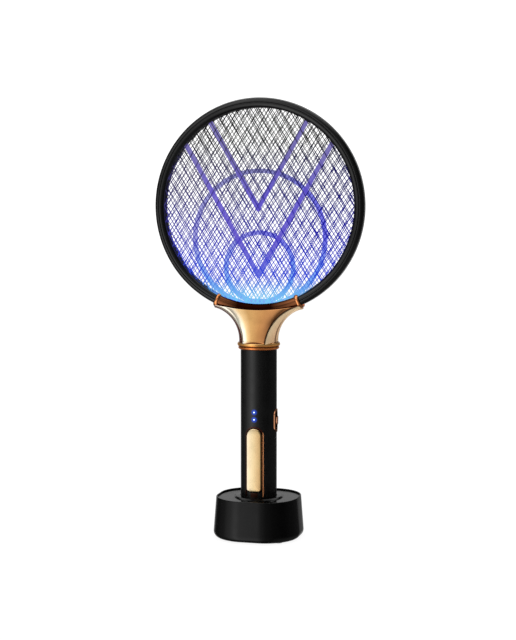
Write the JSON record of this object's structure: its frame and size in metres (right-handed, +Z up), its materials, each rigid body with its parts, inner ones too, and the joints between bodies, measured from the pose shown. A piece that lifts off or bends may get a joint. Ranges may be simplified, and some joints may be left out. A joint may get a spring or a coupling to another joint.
{
  "type": "electric fly swatter",
  "caption": "Round electric fly swatter standing upright in its charging base, with a gold fan neck, wire nets, a long press bar and a side slide switch.",
  "frame": {"origin": "on the table under the handle's axis, at the middle of the base", "axes": "+Z up along the handle, front of the swatter and of the base at -Y, side switch at +X"},
  "size_m": [0.2142, 0.0834, 0.4389],
  "materials": {
    "base_gloss": "polished black",
    "base_top": "glossy black",
    "underside": "matte black",
    "steel": "zinc plated",
    "foot_rubber": "soft matte",
    "circuit_board": "solder masked laminate",
    "contact_gold": "gold plated",
    "socket_steel": "stamped",
    "handle_satin": "satin black",
    "inner_plastic": "moulded",
    "cell_wrap": "shrink wrapped",
    "ferrite": "wound core",
    "capacitor_resin": "dipped resin",
    "bar_gold": "polished, champagne gold",
    "trim_copper": "polished, copper toned",
    "lens_blue": "lit blue",
    "lamp_white": "clear capped",
    "neck_gold": "mirror polished, champagne gold",
    "saddle_copper": "polished, copper toned",
    "lead_red": "silicone insulated",
    "ring_black": "semi-gloss black",
    "net_metal": "drawn wire",
    "grid_metal": "drawn wire",
    "rib_violet": "lit by the lamps",
    "rib_blue": "lit by the lamps",
    "bar_surround": "dark copper lacquer round the bar",
    "lamp_window": "frosted, lit blue"
  },
  "bodies": {
    "base": {"base_shell": "base_gloss", "base_top_plate": "base_top", "base_bottom_plate": "underside", "ballast_plate": "steel", "rubber_feet": "foot_rubber", "base_screws": "steel", "charging_board": "circuit_board", "contact_barrels": "contact_gold", "usb_inlet": "socket_steel"},
    "swatter": {"handle_tube": "handle_satin", "handle_end_cap": "underside", "charge_contacts": "contact_gold", "inner_chassis": "inner_plastic", "battery_cell": "cell_wrap", "battery_terminals": "steel", "main_board": "circuit_board", "hv_transformer": "ferrite", "hv_capacitors": "capacitor_resin", "tact_switch": "inner_plastic", "bar_trim": "bar_surround", "bar_foot_inlay": "bar_surround", "bar_springs": "steel", "side_trim": "trim_copper", "slide_switch_body": "inner_plastic", "indicator_lenses": "lens_blue", "indicator_lamps": "lamp_white", "handle_collar": "trim_copper", "neck_front_shell": "neck_gold", "neck_rear_shell": "neck_gold", "neck_saddle": "saddle_copper", "neck_screws": "steel", "clamp_collar_left": "trim_copper", "clamp_collar_right": "trim_copper", "hv_leads": "lead_red", "ring_hoop": "ring_black", "ring_bezel": "ring_black", "front_net": "net_metal", "centre_grid": "grid_metal", "rear_net": "net_metal", "front_spacer": "rib_violet", "rear_spacer": "rib_blue", "uv_lamp_strip": "circuit_board", "uv_lamps": "lamp_white", "uv_window": "lamp_window"},
    "contact_pins": {"contact_pins": "contact_gold"},
    "press_bar": {"press_bar": "bar_gold"},
    "side_knob": {"side_knob": "trim_copper"}
  },
  "joints": [
    {"name": "swatter_lift", "type": "slide", "parent": "base", "child": "swatter", "axis": [0, 0, 1], "range_m": [0, 0.06]},
    {"name": "press_bar_travel", "type": "slide", "parent": "swatter", "child": "press_bar", "axis": [0, 1, 0], "range_m": [0, 0.0012], "stiffness_N_per_m": 900, "springref_m": -0.0012, "deforming": ["bar_springs"]},
    {"name": "mode_switch_travel", "type": "slide", "parent": "swatter", "child": "side_knob", "axis": [0, 0, 1], "range_m": [-0.004, 0.004]},
    {"name": "contact_pin_travel", "type": "slide", "parent": "base", "child": "contact_pins", "axis": [0, 0, -1], "range_m": [0, 0.001], "stiffness_N_per_m": 400, "springref_m": -0.001}
  ]
}
